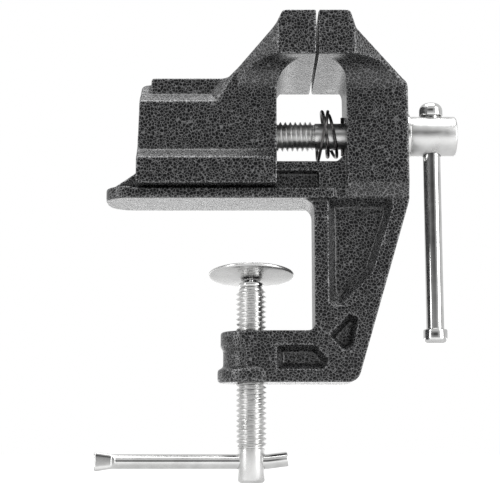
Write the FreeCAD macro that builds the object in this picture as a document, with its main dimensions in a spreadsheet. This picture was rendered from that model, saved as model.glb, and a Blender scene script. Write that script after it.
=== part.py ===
import FreeCAD, Part

import math
import os
import re

import Sketcher

# Clamp-on bench vise.
# Origin: underside of the bench platform, on the clamp screw's axis, in the vise's middle plane.
# +X runs along the main screw towards its handle, +Z is up, the jaws are wide along Y.

SIZES = {
    # how far a cutting profile stands clear of what it cuts, and how far one solid runs into the next
    "margin": 2.0,
    "cut_through": 140.0,
    "lap": 1.0,
    "fit": 0.06,
    # jaw heads, the same on both castings
    "jaw_half": 30.0,
    "head_top": 71.5,
    "head_floor": 53.9,
    "head_root": 12.0,
    "jaw_face": 26.1,
    "jaw_gap": 0.8,
    "flare_round": 11.0,
    "crown_round": 1.2,
    "shoulder_round": 2.0,
    # window between the jaws
    "window_right": 38.0,
    "window_left": 10.1,
    "window_round": 7.0,
    "moving_window_round": 9.5,
    # fixed jaw
    "fixed_half": 13.8,
    "fixed_foot": 0.6,
    "fixed_foot_top": 6.4,
    "fixed_crown": 38.6,
    "fixed_shoulder": 40.8,
    "fixed_shoulder_height": 64.5,
    "fixed_back": 62.5,
    "fixed_back_height": 47.1,
    "fixed_back_round": 4.0,
    "fixed_taper": 40.2,
    "gusset_end": 60.5,
    # platform and rail
    "platform_tip": 58.0,
    "platform_end": 32.8,
    "platform_half": 14.7,
    "platform_thick": 4.0,
    "nose_round": 10.0,
    "nose_rise": 0.8,
    "nose_end": 47.5,
    "web_half": 8.0,
    "rail_half": 12.0,
    "rail_floor": 11.3,
    "rail_top": 15.4,
    "rail_slope_top": 40.0,
    "rail_slope": 1.482,
    "rail_fillet": 3.6,
    # C-frame and arm
    "frame_half": 12.0,
    "throat_wall": 24.8,
    "throat_floor": 51.9,
    "arm_floor": 72.0,
    "spine_foot": 41.4,
    "throat_round": 4.5,
    "arm_round": 2.5,
    "heel_round": 5.0,
    "brow_depth": 0.5,
    "brow_round": 3.0,
    # recesses in its sides: corners of their mouths, heights measured down from the bench face
    "recess_depth": 5.4,
    "recess_proud": 0.7,
    "recess_slope": 2.9,
    "spine_recess_left": 30.1,
    "spine_recess_back": 56.4,
    "spine_recess_back_low": 3.2,
    "spine_recess_bend": 47.6,
    "spine_recess_bend_low": 30.5,
    "spine_recess_toe": 34.2,
    "spine_recess_toe_low": 43.6,
    "spine_recess_foot": 42.5,
    "heel_recess_left": 30.2,
    "heel_recess_left_low": 54.0,
    "heel_recess_brow": 38.2,
    "heel_recess_brow_low": 45.0,
    "heel_recess_back": 42.3,
    "heel_recess_back_low": 46.6,
    "heel_recess_bend": 40.1,
    "heel_recess_bend_low": 58.2,
    "heel_recess_toe": 36.2,
    "heel_recess_toe_low": 60.2,
    "arm_recess_left": 9.5,
    "arm_recess_brow": 57.4,
    "arm_recess_right": 25.2,
    "arm_recess_bend": 30.6,
    "arm_recess_bend_low": 63.6,
    "arm_recess_toe": 28.8,
    "arm_recess_foot": 67.4,
    # boss of the clamp screw
    "boss_top_radius": 12.2,
    "boss_waist_radius": 11.2,
    "boss_foot_radius": 13.4,
    "boss_band": 6.2,
    "boss_chamfer": 1.2,
    "boss_round": 1.0,
    # sliding jaw: head, then the block with its bevelled ridge, then the skirts
    "moving_crown": 12.2,
    "moving_brow": 10.0,
    "moving_brow_height": 67.0,
    "moving_shoulder": 8.2,
    "moving_shoulder_height": 65.0,
    "moving_taper": 10.6,
    "moving_gusset_end": 5.4,
    "moving_neck_end": 25.0,
    "slide_half": 14.0,
    "slide_end": 44.8,
    "slide_end_lean": 0.5,
    "slide_neck": 9.0,
    "slide_top": 49.8,
    "ridge_half": 10.0,
    "ridge_end": 40.2,
    "ridge_round": 1.4,
    "step_top": 48.3,
    "step_round": 2.6,
    "bevel_foot": 39.1,
    "bevel_bend": 13.3,
    "bevel_bend_inner": 16.6,
    "bevel_rise": 14.2,
    "bevel_end": 5.3,
    "bevel_end_inner": 8.4,
    "skirt_half": 18.5,
    "skirt_top": 15.4,
    "waist_foot": 19.6,
    "skirt_floor": 5.2,
    "slide_gap": 0.3,
    # screws: nominal thread diameter, pitch and groove depth
    "thread_radius": 6.0,
    "thread_pitch": 2.0,
    "thread_depth": 1.1,
    "groove_half": 0.85,
    "thread_bore": 6.1,
    "screw_height": 27.9,
    "shank_radius": 5.4,
    "screw_tip": 42.0,
    "thread_start": 25.4,
    "head_radius": 8.15,
    "head_start": 64.3,
    "head_end": 83.0,
    "head_chamfer": 0.8,
    "head_break": 0.3,
    "tip_chamfer": 1.2,
    "washer_radius": 9.2,
    "washer_gap": 0.1,
    "washer_fit": 0.4,
    "retainer_place": 37.2,
    "retainer_radius": 0.75,
    "retainer_half": 7.9,
    # spring on the shank
    "spring_radius": 10.2,
    "spring_wire": 0.65,
    "spring_turns": 2.75,
    "spring_pitch": 2.6,
    "spring_start": 27.4,
    # main bar and its knobs
    "bar_place": 73.3,
    "bar_radius": 3.5,
    "bar_top": 36.2,
    "bar_foot": 50.7,
    "bar_spigot": 4.0,
    "bar_spigot_radius": 2.2,
    "knob_radius": 4.75,
    "knob_length": 5.6,
    "knob_edge": 0.4,
    "knob_crown": 1.6,
    "knob_gap": 0.02,
    # clamp screw, pad and bar
    "clamp_shoulder": 34.1,
    "clamp_thread_end": 97.3,
    "clamp_foot": 110.8,
    "clamp_shank_radius": 5.4,
    "spigot_radius": 1.9,
    "spigot_length": 1.6,
    "clamp_chamfer": 1.0,
    "clamp_run_out": 1.4,
    "ball_height": 29.9,
    "ball_radius": 1.4,
    "neck_radius": 1.0,
    "collar_radius": 5.0,
    "collar_top": 31.9,
    "collar_round": 0.8,
    "neck_lap": 0.2,
    # pad, its heights measured from the ball's centre
    "pad_radius": 17.1,
    "pad_tilt": 8.1,
    "pad_face": 1.65,
    "pad_land": 5.0,
    "pad_hollow": 0.7,
    "pad_hollow_start": 7.5,
    "pad_hollow_rise": 1.2,
    "pad_hollow_end": 14.6,
    "pad_rim_start": 15.4,
    "pad_rim_foot": 0.3,
    "pad_rim_round": 0.5,
    "pad_cone_top": 0.05,
    "pad_cone_start": 15.7,
    "pad_hub_radius": 4.2,
    "pad_hub_foot": 1.2,
    "pad_mouth": 2.2,
    "clamp_bar_height": 102.6,
    "clamp_bar_radius": 2.85,
    "clamp_bar_left": 55.0,
    "clamp_bar_bend": 7.0,
    "clamp_bar_stub": 7.5,
    "stub_angle": 8.0,
    "paddle_length": 8.6,
    "paddle_lap": 2.0,
    "paddle_half": 3.8,
    "paddle_thick": 2.8,
}

PARTS_FOLDER = "parts"
FULL_TURN = 360.0

doc = FreeCAD.newDocument("bench_vise")
sheet = doc.addObject("Spreadsheet::Sheet", "sizes")
for row, (alias, value) in enumerate(SIZES.items(), start=1):
    sheet.set(f"A{row}", str(value))
    sheet.setAlias(f"A{row}", alias)
doc.recompute()


# ---- how sizes reach the geometry ------------------------------------------------------------------

def size(expression):
    """The value, in mm, of an expression written in the sheet's aliases."""
    return float(sheet.evalExpression(str(expression)))


def bound(expression):
    """The same expression as an object outside the sheet has to write it."""
    return re.sub(r"[a-z_]{2,}", r"sizes.\g<0>", str(expression))


def bind(target, **expressions):
    """Tie properties of an object to the sheet."""
    for name, expression in expressions.items():
        target.setExpression(name.replace("__", "."), bound(expression))


def origin_feature(body, role):
    """One of the body's own origin planes or axes."""
    return next(item for item in body.Origin.OriginFeatures if item.Role == role)


# ---- sketches --------------------------------------------------------------------------------------

def unit(start, end):
    step = end - start
    return step * (1.0 / step.Length)


def rounded_corner(before, corner, after, radius):
    """Where a round of this radius leaves both sides of a corner, and its arc from one to the other."""
    arriving = unit(corner, before)
    leaving = unit(corner, after)
    half_angle = math.acos(max(-1.0, min(1.0, arriving.dot(leaving)))) / 2
    reach = radius / math.tan(half_angle)
    first = corner + arriving * reach
    last = corner + leaving * reach
    centre = corner + unit(FreeCAD.Vector(), arriving + leaving) * (radius / math.sin(half_angle))
    turns_left = (corner - before).cross(after - corner).z > 0
    start, end = (first, last) if turns_left else (last, first)
    angles = [math.atan2((point - centre).y, (point - centre).x) for point in (start, end)]
    circle = Part.Circle(centre, FreeCAD.Vector(0, 0, 1), radius)
    return first, last, Part.ArcOfCircle(circle, angles[0], angles[1]), turns_left


def outline(body, name, plane, corners, offset="0"):
    """A closed sketch through corners given as (across, up) or (across, up, round).

    Every entry is an expression on the sheet. XY_Plane runs across X and up Y, XZ_Plane across X and
    up Z, YZ_Plane across Y and up Z. The offset moves the sketch along its plane's normal.
    """
    sketch = body.newObject("Sketcher::SketchObject", name)
    sketch.AttachmentSupport = [(origin_feature(body, plane), "")]
    sketch.MapMode = "FlatFace"
    bind(sketch, AttachmentOffset__Base__z=offset)
    count = len(corners)
    places = [FreeCAD.Vector(size(corner[0]), size(corner[1]), 0) for corner in corners]
    exits, entries, arcs = list(places), list(places), {}
    for index, corner in enumerate(corners):
        if len(corner) == 3:
            before, after = places[index - 1], places[(index + 1) % count]
            entries[index], exits[index], arc, turns_left = rounded_corner(
                before, places[index], after, size(corner[2]))
            arcs[index] = (arc, turns_left)
    lines = [sketch.addGeometry(Part.LineSegment(exits[index], entries[(index + 1) % count]), False)
             for index in range(count)]
    for index, corner in enumerate(corners):
        arriving, leaving = lines[index - 1], lines[index]
        if index in arcs:
            arc, turns_left = arcs[index]
            arc_id = sketch.addGeometry(arc, False)
            mark = sketch.addGeometry(Part.Point(places[index]), True)
            ends = (1, 2) if turns_left else (2, 1)
            sketch.addConstraint(Sketcher.Constraint("Tangent", arriving, 2, arc_id, ends[0]))
            sketch.addConstraint(Sketcher.Constraint("Tangent", leaving, 1, arc_id, ends[1]))
            sketch.addConstraint(Sketcher.Constraint("PointOnObject", mark, 1, arriving))
            sketch.addConstraint(Sketcher.Constraint("PointOnObject", mark, 1, leaving))
            tie(sketch, Sketcher.Constraint("Radius", arc_id, size(corner[2])), corner[2])
            held = mark
        else:
            sketch.addConstraint(Sketcher.Constraint("Coincident", arriving, 2, leaving, 1))
            held = leaving
        tie(sketch, Sketcher.Constraint("DistanceX", -1, 1, held, 1, places[index].x), corner[0])
        tie(sketch, Sketcher.Constraint("DistanceY", -1, 1, held, 1, places[index].y), corner[1])
    return sketch


def tie(sketch, constraint, expression):
    """Add a dimension to a sketch and bind it to the sheet."""
    number = sketch.addConstraint(constraint)
    sketch.setExpression(f"Constraints[{number}]", bound(expression))


# ---- features --------------------------------------------------------------------------------------

def new_body(label):
    body = doc.addObject("PartDesign::Body", label)
    body.Label = label
    return body


def pad(body, sketch, length, both_ways=True):
    feature = body.newObject("PartDesign::Pad", sketch.Name + "_pad")
    feature.Profile = sketch
    if both_ways:
        feature.SideType = "Symmetric"
    bind(feature, Length=length)
    doc.recompute()
    return feature


def pocket(body, sketch, length):
    """Cut a profile out over this length, half of it each side of the sketch."""
    before = body.Shape.Volume
    feature = body.newObject("PartDesign::Pocket", sketch.Name + "_pocket")
    feature.Profile = sketch
    feature.SideType = "Symmetric"
    bind(feature, Length=length)
    doc.recompute()
    if body.Shape.Volume >= before:
        raise RuntimeError(f"{feature.Name} cuts nothing")
    return feature


def turn(body, sketch, kind, axis):
    """Revolve a profile, or groove with it, round one of the body's own axes."""
    before = 0 if body.Shape.isNull() else body.Shape.Volume
    feature = body.newObject(f"PartDesign::{kind}", sketch.Name + "_turned")
    feature.Profile = sketch
    feature.ReferenceAxis = (axis, [""])
    feature.Angle = FULL_TURN
    doc.recompute()
    if kind == "Groove" and body.Shape.Volume >= before:
        raise RuntimeError(f"{feature.Name} cuts nothing")
    return feature


def recess(body, name, mouth, mouth_place, floor, floor_place):
    """A cast recess with sloping walls in one side of a casting."""
    before = body.Shape.Volume
    outer = outline(body, name + "_mouth", "XZ_Plane", mouth, mouth_place)
    inner = outline(body, name + "_floor", "XZ_Plane", floor, floor_place)
    loft = body.newObject("PartDesign::SubtractiveLoft", name)
    loft.Profile = outer
    loft.Sections = [inner]
    loft.Ruled = True
    doc.recompute()
    if body.Shape.Volume >= before:
        raise RuntimeError(f"{name} cuts nothing")


def thread_grooves(body, first_place, run, along):
    """The V groove of a thread, one ring for each pitch, patterned along the screw."""
    if along == "X_Axis":
        groove_profile = [(f"{first_place} - groove_half", "thread_radius + fit"),
                          (f"{first_place} + groove_half", "thread_radius + fit"),
                          (first_place, "thread_radius - thread_depth")]
    else:
        groove_profile = [("thread_radius + fit", f"{first_place} - groove_half"),
                          ("thread_radius + fit", f"{first_place} + groove_half"),
                          ("thread_radius - thread_depth", first_place)]
    profile = outline(body, body.Name + "_groove", "XZ_Plane", groove_profile)
    axis = origin_feature(body, along)
    groove = turn(body, profile, "Groove", axis)
    pattern = body.newObject("PartDesign::LinearPattern", body.Name + "_thread")
    pattern.Originals = [groove]
    pattern.Direction = (axis, [""])
    pattern.Occurrences = int(size(f"({run}) / thread_pitch")) + 1
    bind(pattern, Length=f"{pattern.Occurrences - 1} * thread_pitch")
    body.Tip = pattern
    doc.recompute()


def cylinder(name, radius, length, place, direction):
    """A round solid that starts at a place and runs along a direction."""
    solid = doc.addObject("Part::Cylinder", name)
    bind(solid, Radius=radius, Height=length)
    turned = FreeCAD.Rotation(FreeCAD.Vector(0, 0, 1), FreeCAD.Vector(*direction))
    solid.Placement = FreeCAD.Placement(FreeCAD.Vector(), turned)
    bind(solid, Placement__Base__x=place[0], Placement__Base__y=place[1], Placement__Base__z=place[2])
    return solid


def cut(name, base, tool):
    result = doc.addObject("Part::Cut", name)
    result.Base = base
    result.Tool = tool
    result.Label = name
    return result


def fuse(name, shapes):
    result = doc.addObject("Part::MultiFuse", name)
    result.Shapes = shapes
    result.Refine = True
    result.Label = name
    return result


UP, DOWN, TO_HANDLE, TO_NOSE = (0, 0, 1), (0, 0, -1), (1, 0, 0), (-1, 0, 0)


# ---- frame casting ---------------------------------------------------------------------------------
# One iron casting: platform with its T-rail, C-frame, boss for the clamp screw, and the fixed jaw.

frame_casting = new_body("frame_casting")

pad(frame_casting, outline(frame_casting, "fixed_jaw_side", "XZ_Plane", [
    ("jaw_face", "head_floor - head_root"),
    ("jaw_face", "head_top"),
    ("fixed_crown", "head_top", "crown_round"),
    ("fixed_shoulder", "fixed_shoulder_height", "shoulder_round"),
    ("fixed_back", "fixed_back_height", "fixed_back_round"),
    ("fixed_back", "0"),
    ("window_right - window_round", "0"),
    ("window_right - window_round", "head_floor - head_root"),
]), "2 * jaw_half")

for side, label in ((-1, "near"), (1, "far")):
    corners = [
        (f"{side} * frame_half", "-margin"),
        (f"{side} * frame_half", "fixed_foot"),
        (f"{side} * fixed_half", "fixed_foot_top"),
        (f"{side} * fixed_half", "head_floor", "flare_round"),
        (f"{side} * (jaw_half + margin)", "head_floor"),
        (f"{side} * (jaw_half + margin)", "-margin"),
    ]
    flare = outline(frame_casting, "fixed_flare_" + label, "YZ_Plane", corners, "fixed_back")
    pocket(frame_casting, flare, "cut_through")
    taper = outline(frame_casting, "fixed_taper_" + label, "XY_Plane", [
        ("fixed_taper", f"{side} * jaw_half"),
        ("fixed_taper", f"{side} * (jaw_half + margin)"),
        ("fixed_back + margin", f"{side} * (jaw_half + margin)"),
        ("fixed_back + margin", f"{side} * fixed_half"),
        ("gusset_end", f"{side} * fixed_half"),
    ], "head_floor")
    pocket(frame_casting, taper, "cut_through")

pocket(frame_casting, outline(frame_casting, "fixed_window", "XZ_Plane", [
    ("jaw_face - margin", "head_floor"),
    ("window_right", "head_floor", "window_round"),
    ("window_right", "-margin"),
    ("jaw_face - margin", "-margin"),
]), "cut_through")

pad(frame_casting, outline(frame_casting, "frame_side", "XZ_Plane", [
    ("-margin", "-throat_floor"),
    ("throat_wall", "-throat_floor", "arm_round"),
    ("throat_wall", "0", "throat_round"),
    ("throat_wall - frame_half", "0"),
    ("throat_wall - frame_half", "platform_thick"),
    ("fixed_back", "platform_thick"),
    ("fixed_back", "-brow_depth", "brow_round"),
    ("spine_foot", "-arm_floor", "heel_round"),
    ("-margin", "-arm_floor"),
]), "2 * frame_half")

platform = outline(frame_casting, "platform", "XY_Plane", [
    ("-platform_tip", "-platform_half", "nose_round"),
    ("platform_end", "-platform_half"),
    ("platform_end", "platform_half"),
    ("-platform_tip", "platform_half", "nose_round"),
])
pad(frame_casting, platform, "platform_thick", both_ways=False)

nose = outline(frame_casting, "nose", "XY_Plane", [
    ("-platform_tip", "-platform_half", "nose_round"),
    ("-nose_end", "-platform_half"),
    ("-nose_end", "platform_half"),
    ("-platform_tip", "platform_half", "nose_round"),
])
pad(frame_casting, nose, "platform_thick + nose_rise", both_ways=False)

pad(frame_casting, outline(frame_casting, "web", "XZ_Plane", [
    ("-rail_slope_top - (rail_top - platform_thick) * rail_slope", "platform_thick"),
    ("window_right + margin", "platform_thick"),
    ("window_right + margin", "rail_floor + lap"),
    ("-rail_slope_top - (rail_top - rail_floor - lap) * rail_slope", "rail_floor + lap"),
]), "2 * web_half")

pad(frame_casting, outline(frame_casting, "rail", "XZ_Plane", [
    ("-rail_slope_top - (rail_top - rail_floor) * rail_slope", "rail_floor"),
    ("window_right + margin", "rail_floor"),
    ("window_right + margin", "rail_top + rail_fillet"),
    ("window_right", "rail_top + rail_fillet"),
    ("window_right - rail_fillet", "rail_top"),
    ("-rail_slope_top", "rail_top"),
]), "2 * rail_half")

pad(frame_casting, outline(frame_casting, "rail_root", "XZ_Plane", [
    ("throat_wall + margin", "platform_thick - lap"),
    ("window_right + margin", "platform_thick - lap"),
    ("window_right + margin", "rail_floor + lap"),
    ("throat_wall + margin", "rail_floor + lap"),
]), "2 * rail_half")

boss = outline(frame_casting, "boss", "XZ_Plane", [
    ("0", "-throat_floor"),
    ("boss_top_radius", "-throat_floor", "boss_round"),
    ("boss_top_radius", "-throat_floor - boss_band", "boss_round"),
    ("boss_waist_radius", "-throat_floor - boss_band - boss_chamfer"),
    ("boss_waist_radius", "-arm_floor + boss_band"),
    ("boss_foot_radius", "-arm_floor + boss_band - boss_chamfer", "boss_round"),
    ("boss_foot_radius", "-arm_floor", "boss_round"),
    ("0", "-arm_floor"),
])
turn(frame_casting, boss, "Revolution", origin_feature(frame_casting, "Z_Axis"))

# Corners of each recess's mouth, and how far the floor's corner lies inwards, in recess_slope.
SPINE_RECESS = [
    ("spine_recess_left", "margin / 2", 1.0, -1.2),
    ("spine_recess_left", "-spine_recess_foot", 1.1, 2.1),
    ("spine_recess_toe", "-spine_recess_toe_low", 0.4, 2.2),
    ("spine_recess_bend", "-spine_recess_bend_low", -0.8, 1.1),
    ("spine_recess_back", "-spine_recess_back_low", -1.3, -0.8),
    ("spine_recess_back", "margin / 2", -1.3, -1.2),
]
HEEL_RECESS = [
    ("heel_recess_left", "-heel_recess_left_low", 0.8, -0.1),
    ("heel_recess_brow", "-heel_recess_brow_low", 0.1, -1.0),
    ("heel_recess_back", "-heel_recess_back_low", -0.8, -0.7),
    ("heel_recess_bend", "-heel_recess_bend_low", -0.6, 0.5),
    ("heel_recess_toe", "-heel_recess_toe_low", 0.1, 0.9),
]
ARM_RECESS = [
    ("arm_recess_left", "-arm_recess_brow", 1.0, -0.8),
    ("arm_recess_right", "-arm_recess_brow", -0.3, -0.8),
    ("arm_recess_bend", "-arm_recess_bend_low", -1.2, 0.1),
    ("arm_recess_toe", "-arm_recess_foot", -0.8, 0.9),
    ("arm_recess_left", "-arm_recess_foot", 1.0, 0.9),
]
for side, label in ((1, "near"), (-1, "far")):
    for recess_name, corners in (("spine", SPINE_RECESS), ("heel", HEEL_RECESS), ("arm", ARM_RECESS)):
        mouth = [(across, up) for across, up, _, _ in corners]
        floor = [(f"{across} + {inward} * recess_slope", f"{up} + {upward} * recess_slope")
                 for across, up, inward, upward in corners]
        recess(frame_casting, f"{recess_name}_recess_{label}",
               mouth, f"{side} * (frame_half + recess_proud)",
               floor, f"{side} * (frame_half - recess_depth)")

clamp_bore = outline(frame_casting, "clamp_bore", "XZ_Plane", [
    ("0", "-throat_floor + margin"), ("thread_bore", "-throat_floor + margin"),
    ("thread_bore", "-arm_floor - margin"), ("0", "-arm_floor - margin"),
])
turn(frame_casting, clamp_bore, "Groove", origin_feature(frame_casting, "Z_Axis"))


def screw_bore(body, start, end):
    """The bore along the main screw's axis, as a cylinder cut from a finished casting."""
    return cylinder(body + "_bore", "thread_bore", f"({end}) - ({start})", (start, "0", "screw_height"),
                    TO_HANDLE)


frame_casting.Label = "frame_body"
frame_node = cut("frame_casting_node", frame_casting, screw_bore("frame", "window_right - margin",
                                                                 "fixed_back + margin"))
frame_node.Label = "frame_casting"


# ---- sliding jaw -----------------------------------------------------------------------------------
# One iron casting that wraps the T-rail: jaw head, neck, block with a narrower ridge, and skirts.

sliding_jaw = new_body("sliding_jaw")

pad(sliding_jaw, outline(sliding_jaw, "moving_jaw_side", "XZ_Plane", [
    ("jaw_face - jaw_gap", "head_floor - head_root"),
    ("jaw_face - jaw_gap", "head_top"),
    ("moving_crown", "head_top", "crown_round"),
    ("moving_brow", "moving_brow_height"),
    ("moving_shoulder", "moving_shoulder_height", "shoulder_round"),
    ("-slide_neck", "slide_top", "shoulder_round"),
    ("-slide_neck", "skirt_top"),
    ("window_left", "skirt_top"),
    ("window_left", "head_floor - head_root"),
]), "2 * jaw_half")

for side, label in ((-1, "near"), (1, "far")):
    corners = [
        (f"{side} * slide_half", "skirt_floor - margin"),
        (f"{side} * slide_half", "head_floor", "flare_round"),
        (f"{side} * (jaw_half + margin)", "head_floor"),
        (f"{side} * (jaw_half + margin)", "skirt_floor - margin"),
    ]
    flare = outline(sliding_jaw, "moving_flare_" + label, "YZ_Plane", corners, "0")
    pocket(sliding_jaw, flare, "cut_through")
    taper = outline(sliding_jaw, "moving_taper_" + label, "XY_Plane", [
        ("moving_taper", f"{side} * jaw_half"),
        ("moving_taper", f"{side} * (jaw_half + margin)"),
        ("-moving_neck_end", f"{side} * (jaw_half + margin)"),
        ("-moving_neck_end", f"{side} * slide_half"),
        ("-moving_gusset_end", f"{side} * slide_half"),
    ], "head_floor")
    pocket(sliding_jaw, taper, "cut_through")

pocket(sliding_jaw, outline(sliding_jaw, "moving_window", "XZ_Plane", [
    ("jaw_face + margin", "head_floor"),
    ("jaw_face + margin", "skirt_floor - margin"),
    ("window_left", "skirt_floor - margin"),
    ("window_left", "head_floor", "moving_window_round"),
]), "cut_through")

pad(sliding_jaw, outline(sliding_jaw, "block_side", "XZ_Plane", [
    ("-slide_end - slide_end_lean", "skirt_top"),
    ("window_left", "skirt_top"),
    ("window_left", "bevel_foot"),
    ("-slide_neck + lap", "slide_top"),
    ("-ridge_end", "slide_top", "ridge_round"),
    ("-ridge_end", "step_top"),
    ("-slide_end + slide_end_lean", "step_top", "step_round"),
]), "2 * slide_half")

# The bevel runs along the foot of the ridge and turns up along the neck.
for side, label in ((1, "near"), (-1, "far")):
    recess(sliding_jaw, "bevel_" + label, [
        ("-slide_end - margin", "bevel_foot"),
        ("-bevel_bend", "bevel_foot"),
        ("-bevel_end", "bevel_foot + bevel_rise"),
        ("-slide_end - margin", "bevel_foot + bevel_rise"),
    ], f"{side} * slide_half", [
        ("-slide_end - margin", "bevel_foot + slide_half - ridge_half"),
        ("-bevel_bend_inner", "bevel_foot + slide_half - ridge_half"),
        ("-bevel_end_inner", "bevel_foot + bevel_rise"),
        ("-slide_end - margin", "bevel_foot + bevel_rise"),
    ], f"{side} * ridge_half")
    end_bevel = outline(sliding_jaw, "end_bevel_" + label, "YZ_Plane", [
        (f"{side} * slide_half", "bevel_foot"),
        (f"{side} * (slide_half - bevel_rise)", "bevel_foot + bevel_rise"),
        (f"{side} * slide_half", "bevel_foot + bevel_rise"),
    ], "-(ridge_end + slide_end + margin) / 2")
    pocket(sliding_jaw, end_bevel, "slide_end + margin - ridge_end")

skirt = outline(sliding_jaw, "skirts", "YZ_Plane", [
    ("-slide_half", "waist_foot"),
    ("-skirt_half", "skirt_top"),
    ("-skirt_half", "skirt_floor"),
    ("skirt_half", "skirt_floor"),
    ("skirt_half", "skirt_top"),
    ("slide_half", "waist_foot"),
], "(window_left - slide_end - slide_end_lean) / 2")
pad(sliding_jaw, skirt, "window_left + slide_end + slide_end_lean")

way = outline(sliding_jaw, "rail_way", "YZ_Plane", [
    ("-web_half - slide_gap", "skirt_floor - margin"),
    ("web_half + slide_gap", "skirt_floor - margin"),
    ("web_half + slide_gap", "rail_floor - slide_gap"),
    ("rail_half + slide_gap", "rail_floor - slide_gap"),
    ("rail_half + slide_gap", "rail_top + slide_gap"),
    ("-rail_half - slide_gap", "rail_top + slide_gap"),
    ("-rail_half - slide_gap", "rail_floor - slide_gap"),
    ("-web_half - slide_gap", "rail_floor - slide_gap"),
])
pocket(sliding_jaw, way, "cut_through")

sliding_jaw.Label = "sliding_jaw_body"
sliding_node = cut("sliding_jaw_node", sliding_jaw, screw_bore("sliding_jaw", "-slide_end - margin",
                                                               "window_left + margin"))
sliding_node.Label = "sliding_jaw"


# ---- main screw and what rides on it ---------------------------------------------------------------
# One turned piece: chamfered thread, plain shank and a large round head with a cross hole for the bar.

screw_blank = new_body("screw_blank")
screw_profile = outline(screw_blank, "screw_profile", "XZ_Plane", [
    ("-screw_tip", "0"),
    ("head_end", "0"),
    ("head_end", "head_radius - head_chamfer"),
    ("head_end - head_chamfer", "head_radius"),
    ("head_start + head_break", "head_radius"),
    ("head_start", "head_radius - head_break"),
    ("head_start", "shank_radius"),
    ("thread_start + thread_radius - shank_radius", "shank_radius"),
    ("thread_start", "thread_radius"),
    ("-screw_tip + tip_chamfer", "thread_radius"),
    ("-screw_tip", "thread_radius - tip_chamfer"),
])
turn(screw_blank, screw_profile, "Revolution", origin_feature(screw_blank, "X_Axis"))
thread_grooves(screw_blank, "-screw_tip + 2 * tip_chamfer",
               "screw_tip + thread_start - 3 * tip_chamfer", "X_Axis")
bind(screw_blank, Placement__Base__z="screw_height")

bar_hole = cylinder("bar_hole", "bar_radius + fit", "2 * head_radius + 2 * margin",
                    ("bar_place", "0", "screw_height - head_radius - margin"), UP)
retainer_hole = cylinder("retainer_hole", "retainer_radius + fit", "2 * shank_radius + 2 * margin",
                         ("retainer_place", "0", "screw_height - shank_radius - margin"), UP)
screw_with_bar_hole = cut("screw_with_bar_hole", screw_blank, bar_hole)
main_screw = cut("main_screw", screw_with_bar_hole, retainer_hole)

washer_disc = cylinder("washer_disc", "washer_radius", "head_start - fixed_back - 2 * washer_gap",
                       ("fixed_back + washer_gap", "0", "screw_height"), TO_HANDLE)
washer_hole = cylinder("washer_hole", "shank_radius + washer_fit", "head_start - fixed_back + margin",
                       ("fixed_back - margin / 2", "0", "screw_height"), TO_HANDLE)
head_washer = cut("head_washer", washer_disc, washer_hole)

retaining_pin = cylinder("retaining_pin", "retainer_radius", "2 * retainer_half",
                         ("retainer_place", "0", "screw_height - retainer_half"), UP)
retaining_pin.Label = "retaining_pin"

# ---- spring: open coil of round wire, its axis on the shank ----------------------------------------

coil = doc.addObject("Part::Helix", "coil")
bind(coil, Radius="spring_radius", Pitch="spring_pitch", Height="spring_pitch * spring_turns")
wire_section = doc.addObject("Part::Circle", "wire_section")
bind(wire_section, Radius="spring_wire", Placement__Base__x="spring_radius")
wire_section.Placement = FreeCAD.Placement(
    FreeCAD.Vector(size("spring_radius"), 0, 0), FreeCAD.Rotation(FreeCAD.Vector(1, 0, 0), 90))
spring_sweep = doc.addObject("Part::Sweep", "slack_spring")
spring_sweep.Sections = [wire_section]
spring_sweep.Spine = coil
spring_sweep.Solid = True
spring_sweep.Frenet = True
spring_sweep.Placement = FreeCAD.Placement(
    FreeCAD.Vector(), FreeCAD.Rotation(FreeCAD.Vector(0, 1, 0), 90))
bind(spring_sweep, Placement__Base__x="spring_start", Placement__Base__z="screw_height")
spring_sweep.Label = "slack_spring"


# ---- main bar and knobs ----------------------------------------------------------------------------
# A plain rod with a spigot at each end, and two drum knobs pressed on the spigots.

rod = cylinder("rod", "bar_radius", "bar_top + bar_foot", ("bar_place", "0", "-bar_foot"), UP)
spigots = cylinder("spigots", "bar_spigot_radius", "bar_top + bar_foot + 2 * bar_spigot",
                   ("bar_place", "0", "-bar_foot - bar_spigot"), UP)
main_bar = fuse("main_bar", [rod, spigots])


def knob(name, start, direction):
    """Drum with a rounded crown, bored for the rod's spigot; it starts at the rod's shoulder."""
    body = new_body(name + "_drum")
    profile = outline(body, name + "_profile", "XZ_Plane", [
        ("bar_spigot_radius + fit", "knob_gap"),
        ("knob_radius", "knob_gap", "knob_edge"),
        ("knob_radius", "knob_length", "knob_crown"),
        ("0", "knob_length"),
        ("0", "bar_spigot + fit"),
        ("bar_spigot_radius + fit", "bar_spigot + fit"),
    ])
    turn(body, profile, "Revolution", origin_feature(body, "Z_Axis"))
    if direction == DOWN:
        body.Placement = FreeCAD.Placement(FreeCAD.Vector(),
                                           FreeCAD.Rotation(FreeCAD.Vector(1, 0, 0), 180))
    bind(body, Placement__Base__x="bar_place", Placement__Base__z=start)
    body.Label = name
    return body


upper_knob = knob("main_bar_upper_knob", "bar_top", UP)
lower_knob = knob("main_bar_lower_knob", "-bar_foot", DOWN)


# ---- clamp screw -----------------------------------------------------------------------------------
# Thread for the boss, a plain foot with a cross hole, and a short spigot for the collar on top.

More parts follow.
